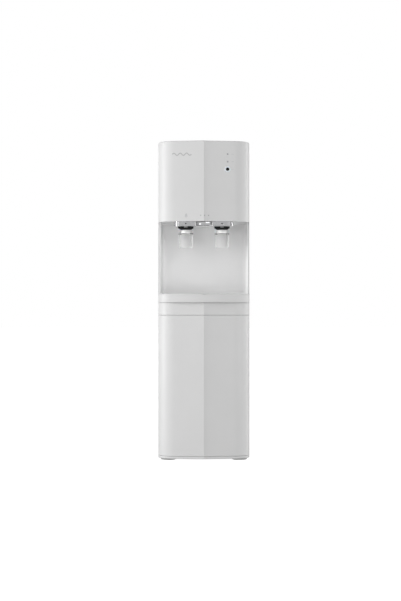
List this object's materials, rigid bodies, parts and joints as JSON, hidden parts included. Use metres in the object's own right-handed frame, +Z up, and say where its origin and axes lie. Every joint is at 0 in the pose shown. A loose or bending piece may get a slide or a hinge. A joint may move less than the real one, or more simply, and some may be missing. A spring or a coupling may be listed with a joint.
{
  "type": "floor-standing water dispenser",
  "caption": "Slim white floor-standing water dispenser: creased front covers, two sprung push-lever taps, button, pull-out drip tray, filters, tanks and cooling unit inside.",
  "frame": {"origin": "on the floor, under the middle of the object's box", "axes": "+Z up, the front with the taps faces -Y, +X to the right seen from the front"},
  "size_m": [0.317, 0.36, 1.1],
  "materials": {
    "cabinet_white": "satin",
    "liner_white": "satin",
    "chrome": "polished",
    "stainless": "satin",
    "zinc_sheet": "satin",
    "copper": "satin",
    "black_plastic": "gloss",
    "black_paint": "satin",
    "clear_plastic": "gloss",
    "grey_rubber": "matte",
    "foam": "matte",
    "circuit_board": "satin",
    "light_lens": "gloss",
    "milky_plastic": "satin"
  },
  "bodies": {
    "cabinet": {"base_plate": "cabinet_white", "side_panel_left": "cabinet_white", "side_panel_right": "cabinet_white", "upper_front_cover": "cabinet_white", "front_strip": "cabinet_white", "top_cover": "cabinet_white", "niche_liner": "liner_white", "tap_console": "liner_white", "hot_tap_valve": "liner_white", "cold_tap_valve": "liner_white", "cold_tank_lid": "liner_white", "filter_manifold": "liner_white", "water_inlet_fitting": "liner_white", "drain_fitting": "liner_white", "feed_valve": "liner_white", "chrome_trim_left": "chrome", "chrome_trim_right": "chrome", "hot_lever_pin": "stainless", "cold_lever_pin": "stainless", "hot_lever_spring": "stainless", "cold_lever_spring": "stainless", "cold_tank": "stainless", "float_stem": "stainless", "hot_tank": "stainless", "rear_cover": "zinc_sheet", "middle_shelf": "zinc_sheet", "tank_shelf": "zinc_sheet", "evaporator_coil": "copper", "band_heater": "copper", "button_switch": "black_plastic", "light_sensor_window": "black_plastic", "power_inlet": "black_plastic", "compressor": "black_paint", "condenser": "black_paint", "condenser_rail_left": "black_paint", "condenser_rail_right": "black_paint", "foot_front_left": "grey_rubber", "foot_front_right": "grey_rubber", "foot_rear_left": "grey_rubber", "foot_rear_right": "grey_rubber", "cold_tank_insulation": "foam", "display_board": "circuit_board", "control_board": "circuit_board", "status_light_pipe": "light_lens", "mode_light_pipe": "light_lens", "supply_tube": "milky_plastic"},
    "lower_front_cover": {"lower_front_cover": "cabinet_white"},
    "drip_tray": {"drip_tray": "cabinet_white"},
    "drip_grille": {"drip_grille": "stainless"},
    "select_button": {"select_button": "chrome"},
    "hot_lever": {"hot_lever": "black_plastic", "hot_paddle": "clear_plastic"},
    "cold_lever": {"cold_lever": "black_plastic", "cold_paddle": "clear_plastic"},
    "level_float": {"level_float": "milky_plastic"},
    "filter_sediment": {"filter_sediment": "liner_white"},
    "filter_carbon": {"filter_carbon": "liner_white"},
    "filter_membrane": {"filter_membrane": "liner_white"},
    "hot_switch": {"hot_switch": "black_plastic"},
    "cold_switch": {"cold_switch": "black_plastic"}
  },
  "joints": [
    {"name": "lower_cover_pull", "type": "slide", "parent": "cabinet", "child": "lower_front_cover", "axis": [0, -1, 0], "range_m": [0, 0.1]},
    {"name": "drip_tray_pull", "type": "slide", "parent": "cabinet", "child": "drip_tray", "axis": [0, -1, 0], "range_m": [0, 0.15]},
    {"name": "drip_grille_lift", "type": "slide", "parent": "drip_tray", "child": "drip_grille", "axis": [0, 0, 1], "range_m": [0, 0.03]},
    {"name": "select_button_press", "type": "slide", "parent": "cabinet", "child": "select_button", "axis": [0, 1, 0], "range_m": [0, 0.0025], "stiffness_N_per_m": 400},
    {"name": "hot_lever_push", "type": "hinge", "parent": "cabinet", "child": "hot_lever", "pos_m": [-0.0625, -0.125, 0.798], "axis": [1, 0, 0], "range_deg": [0, 14], "stiffness_Nm_per_rad": 0.15, "springref_deg": -5.73},
    {"name": "cold_lever_push", "type": "hinge", "parent": "cabinet", "child": "cold_lever", "pos_m": [0.0625, -0.125, 0.798], "axis": [1, 0, 0], "range_deg": [0, 14], "stiffness_Nm_per_rad": 0.15, "springref_deg": -5.73},
    {"name": "float_rise", "type": "slide", "parent": "cabinet", "child": "level_float", "axis": [0, 0, 1], "range_m": [0, 0.09]},
    {"name": "filter_sediment_twist", "type": "hinge", "parent": "cabinet", "child": "filter_sediment", "pos_m": [-0.095, -0.105, 0.15], "axis": [0, 0, 1], "range_deg": [0, 90]},
    {"name": "filter_carbon_twist", "type": "hinge", "parent": "cabinet", "child": "filter_carbon", "pos_m": [0, -0.105, 0.15], "axis": [0, 0, 1], "range_deg": [0, 90]},
    {"name": "filter_membrane_twist", "type": "hinge", "parent": "cabinet", "child": "filter_membrane", "pos_m": [0.095, -0.105, 0.15], "axis": [0, 0, 1], "range_deg": [0, 90]},
    {"name": "hot_switch_rock", "type": "hinge", "parent": "cabinet", "child": "hot_switch", "pos_m": [0.02, 0.157, 0.846], "axis": [1, 0, 0], "range_deg": [-16, 0]},
    {"name": "cold_switch_rock", "type": "hinge", "parent": "cabinet", "child": "cold_switch", "pos_m": [-0.02, 0.157, 0.846], "axis": [1, 0, 0], "range_deg": [-16, 0]}
  ]
}
